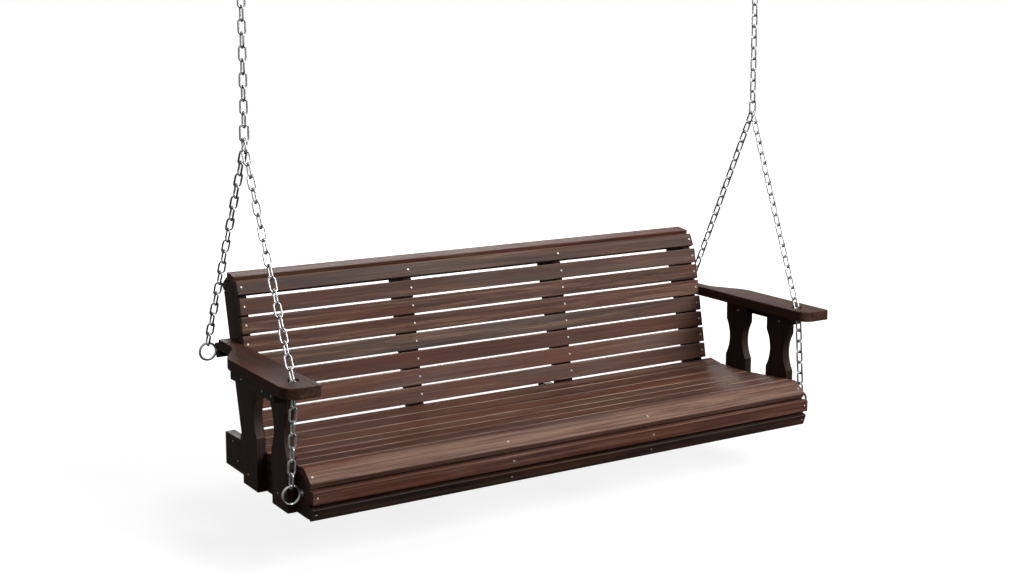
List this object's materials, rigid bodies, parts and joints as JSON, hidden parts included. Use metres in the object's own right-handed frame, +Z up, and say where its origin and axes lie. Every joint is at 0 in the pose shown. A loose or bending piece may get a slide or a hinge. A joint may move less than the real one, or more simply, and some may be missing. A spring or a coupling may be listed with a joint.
{
  "type": "porch swing",
  "caption": "Slatted wooden porch swing bench with rolled back, armrests on shaped posts, and Y-shaped hanging chains from ceiling eyes.",
  "frame": {"origin": "on the ceiling plane, midway between the two ceiling eyes", "axes": "+X to the right seen from the front, along the bench; +Y from the bench's front to its back; +Z up"},
  "size_m": [1.656, 0.6042, 1.406],
  "materials": {
    "seat_slat_wood": "dark walnut brown grained boards, satin",
    "back_slat_wood": "dark walnut brown grained boards, satin",
    "front_slat_wood": "dark walnut brown grained boards, satin",
    "arm_wood": "dark reddish walnut boards, satin",
    "frame_wood": "nearly black-brown grained boards, satin",
    "screw_steel": "bright zinc plated",
    "ring_steel": "bright zinc plated",
    "chain_steel": "bright galvanised"
  },
  "bodies": {
    "ceiling_fixings": {"left_ceiling_eye": "ring_steel", "right_ceiling_eye": "ring_steel"},
    "left_top_link": {"left_top_link": "chain_steel"},
    "right_top_link": {"right_top_link": "chain_steel"},
    "left_upper_chain": {"left_upper_chain": "chain_steel"},
    "right_upper_chain": {"right_upper_chain": "chain_steel"},
    "left_split_link": {"left_split_link": "chain_steel"},
    "right_split_link": {"right_split_link": "chain_steel"},
    "bench": {"arm_post_screws": "screw_steel", "back_slat_1": "back_slat_wood", "back_slat_2": "back_slat_wood", "back_slat_3": "back_slat_wood", "back_slat_4": "back_slat_wood", "back_slat_5": "back_slat_wood", "back_slat_6": "back_slat_wood", "back_slat_7": "back_slat_wood", "back_slat_8": "back_slat_wood", "back_slat_screws": "screw_steel", "eye_bolt_nuts": "ring_steel", "eye_bolt_washers": "ring_steel", "frame_screws": "screw_steel", "front_slat_bottom": "front_slat_wood", "front_slat_middle": "front_slat_wood", "front_slat_screws": "screw_steel", "front_slat_top": "front_slat_wood", "front_stretchers": "frame_wood", "left_arm": "arm_wood", "left_arm_cleat": "frame_wood", "left_end_upright": "frame_wood", "left_front_chain": "chain_steel", "left_front_eye_bolt": "ring_steel", "left_front_post": "frame_wood", "left_mid_rail": "frame_wood", "left_mid_upright": "frame_wood", "left_rear_chain": "chain_steel", "left_rear_eye_bolt": "ring_steel", "left_rear_post": "frame_wood", "left_side_rail": "frame_wood", "rear_brace": "frame_wood", "rear_top_slat": "back_slat_wood", "right_arm": "arm_wood", "right_arm_cleat": "frame_wood", "right_end_upright": "frame_wood", "right_front_chain": "chain_steel", "right_front_eye_bolt": "ring_steel", "right_front_post": "frame_wood", "right_mid_rail": "frame_wood", "right_mid_upright": "frame_wood", "right_rear_chain": "chain_steel", "right_rear_eye_bolt": "ring_steel", "right_rear_post": "frame_wood", "right_side_rail": "frame_wood", "seat_slat_1": "seat_slat_wood", "seat_slat_2": "seat_slat_wood", "seat_slat_3": "seat_slat_wood", "seat_slat_4": "seat_slat_wood", "seat_slat_5": "seat_slat_wood", "seat_slat_6": "seat_slat_wood", "seat_stretchers": "frame_wood", "top_slat": "back_slat_wood"}
  },
  "joints": [
    {"name": "left_swing", "type": "hinge", "parent": "ceiling_fixings", "child": "left_top_link", "pos_m": [-0.79, 0, -0.048], "axis": [1, 0, 0], "range_deg": [-25, 25]},
    {"name": "left_sway", "type": "hinge", "parent": "left_top_link", "child": "left_upper_chain", "pos_m": [-0.79, 0, -0.0778], "axis": [0, 1, 0], "range_deg": [-8, 8]},
    {"name": "left_level", "type": "hinge", "parent": "left_upper_chain", "child": "left_split_link", "pos_m": [-0.79, 0, -0.4534], "axis": [0, 1, 0], "range_deg": [-8, 8]},
    {"name": "bench_tip", "type": "hinge", "parent": "left_split_link", "child": "bench", "pos_m": [-0.79, 0, -0.4847], "axis": [1, 0, 0], "range_deg": [-10, 10]},
    {"name": "right_swing", "type": "hinge", "parent": "ceiling_fixings", "child": "right_top_link", "pos_m": [0.79, 0, -0.048], "axis": [1, 0, 0], "range_deg": [-25, 25]},
    {"name": "right_sway", "type": "hinge", "parent": "right_top_link", "child": "right_upper_chain", "pos_m": [0.79, 0, -0.0778], "axis": [0, 1, 0], "range_deg": [-8, 8]},
    {"name": "right_level", "type": "hinge", "parent": "right_upper_chain", "child": "right_split_link", "pos_m": [0.79, 0, -0.4534], "axis": [0, 1, 0], "range_deg": [-8, 8]}
  ],
  "couplings": [
    {"joint": "right_swing", "follows": "left_swing", "ratio": 1},
    {"joint": "right_sway", "follows": "left_sway", "ratio": 1},
    {"joint": "left_level", "follows": "left_sway", "ratio": -1},
    {"joint": "right_level", "follows": "left_sway", "ratio": -1}
  ]
}
